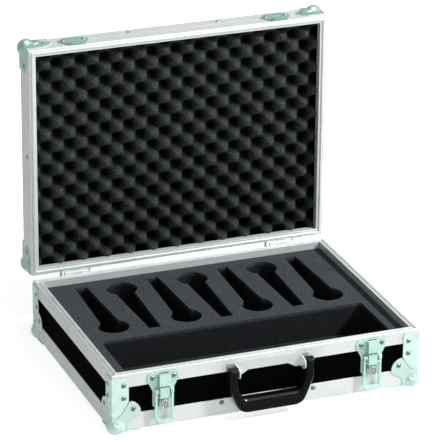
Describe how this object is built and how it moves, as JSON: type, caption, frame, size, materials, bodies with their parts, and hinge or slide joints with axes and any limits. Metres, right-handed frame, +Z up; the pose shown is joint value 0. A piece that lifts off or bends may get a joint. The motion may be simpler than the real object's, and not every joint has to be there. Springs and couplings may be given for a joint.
{
  "type": "microphone case",
  "caption": "Hard microphone case with aluminium edging, ball corners, foam slots, a cable trough, toggle latches with locks, a bow handle and a hinged lid lined with convoluted foam.",
  "frame": {"origin": "on the floor, under the middle of the base's outline", "axes": "+X to the right seen from the latches, +Y from the latches to the hinges, +Z up"},
  "size_m": [0.493, 0.439, 0.4702],
  "materials": {
    "laminate": "fine-grained black laminate on plywood",
    "aluminium": "satin extruded aluminium",
    "base_foam": "cut open-cell foam",
    "lid_foam": "convoluted open-cell foam",
    "zinc_steel": "pressed steel, bright zinc plating",
    "chrome": "chrome plated lock",
    "rivet_steel": "set steel rivets",
    "handle_plastic": "soft gloss moulded plastic"
  },
  "bodies": {
    "base": {"base_panel_front": "laminate", "base_panel_right": "laminate", "base_panel_rear": "laminate", "base_panel_left": "laminate", "base_floor_panel": "laminate", "base_rim_front": "aluminium", "base_rim_right": "aluminium", "base_rim_rear": "aluminium", "base_rim_left": "aluminium", "base_edge_front": "aluminium", "base_edge_right": "aluminium", "base_edge_rear": "aluminium", "base_edge_left": "aluminium", "base_corner_angles": "aluminium", "microphone_foam": "base_foam", "foam_floor_pad": "base_foam", "base_ball_corners": "zinc_steel", "base_brace_front_left": "zinc_steel", "base_brace_front_right": "zinc_steel", "base_brace_rear_left": "zinc_steel", "base_brace_rear_right": "zinc_steel", "base_hinge_leaves": "zinc_steel", "latch_plates": "zinc_steel", "handle_bracket": "zinc_steel", "hinge_pins": "zinc_steel", "handle_pins": "zinc_steel", "lock_bodies": "chrome", "base_rivets": "rivet_steel"},
    "lid": {"lid_panel_front": "laminate", "lid_panel_right": "laminate", "lid_panel_rear": "laminate", "lid_panel_left": "laminate", "lid_top_panel": "laminate", "lid_rim_front": "aluminium", "lid_rim_right": "aluminium", "lid_rim_rear": "aluminium", "lid_rim_left": "aluminium", "lid_edge_front": "aluminium", "lid_edge_right": "aluminium", "lid_edge_rear": "aluminium", "lid_edge_left": "aluminium", "lid_foam": "lid_foam", "lid_ball_corners": "zinc_steel", "lid_hinge_leaves": "zinc_steel", "lid_strikes": "zinc_steel", "lid_rivets": "rivet_steel"},
    "lever_left": {"latch_lever_left": "zinc_steel"},
    "lever_right": {"latch_lever_right": "zinc_steel"},
    "claw_left": {"latch_claw_left": "zinc_steel"},
    "claw_right": {"latch_claw_right": "zinc_steel"},
    "plug_left": {"lock_plug_left": "chrome"},
    "plug_right": {"lock_plug_right": "chrome"},
    "carry_handle": {"handle": "handle_plastic"}
  },
  "joints": [
    {"name": "lid_hinge", "type": "hinge", "parent": "base", "child": "lid", "pos_m": [0, 0.186, 0.0957], "axis": [1, 0, 0], "range_deg": [0, 90]},
    {"name": "latch_left_lever", "type": "hinge", "parent": "base", "child": "lever_left", "pos_m": [-0.163, -0.188, 0.0632], "axis": [-1, 0, 0], "range_deg": [0, 150]},
    {"name": "latch_left_claw", "type": "hinge", "parent": "lever_left", "child": "claw_left", "pos_m": [-0.163, -0.188, 0.0542], "axis": [-1, 0, 0], "range_deg": [-150, 0]},
    {"name": "lock_left_turn", "type": "hinge", "parent": "base", "child": "plug_left", "pos_m": [-0.163, -0.191, 0.0422], "axis": [0, -1, 0], "range_deg": [0, 90]},
    {"name": "latch_right_lever", "type": "hinge", "parent": "base", "child": "lever_right", "pos_m": [0.163, -0.188, 0.0632], "axis": [-1, 0, 0], "range_deg": [0, 150]},
    {"name": "latch_right_claw", "type": "hinge", "parent": "lever_right", "child": "claw_right", "pos_m": [0.163, -0.188, 0.0542], "axis": [-1, 0, 0], "range_deg": [-150, 0]},
    {"name": "lock_right_turn", "type": "hinge", "parent": "base", "child": "plug_right", "pos_m": [0.163, -0.191, 0.0422], "axis": [0, -1, 0], "range_deg": [0, 90]},
    {"name": "handle_swing", "type": "hinge", "parent": "base", "child": "carry_handle", "pos_m": [0, -0.19375, 0.0752], "axis": [-1, 0, 0], "range_deg": [0, 95]}
  ],
  "couplings": [
    {"joint": "latch_left_claw", "follows": "latch_left_lever", "ratio": -1},
    {"joint": "latch_right_claw", "follows": "latch_right_lever", "ratio": -1}
  ]
}
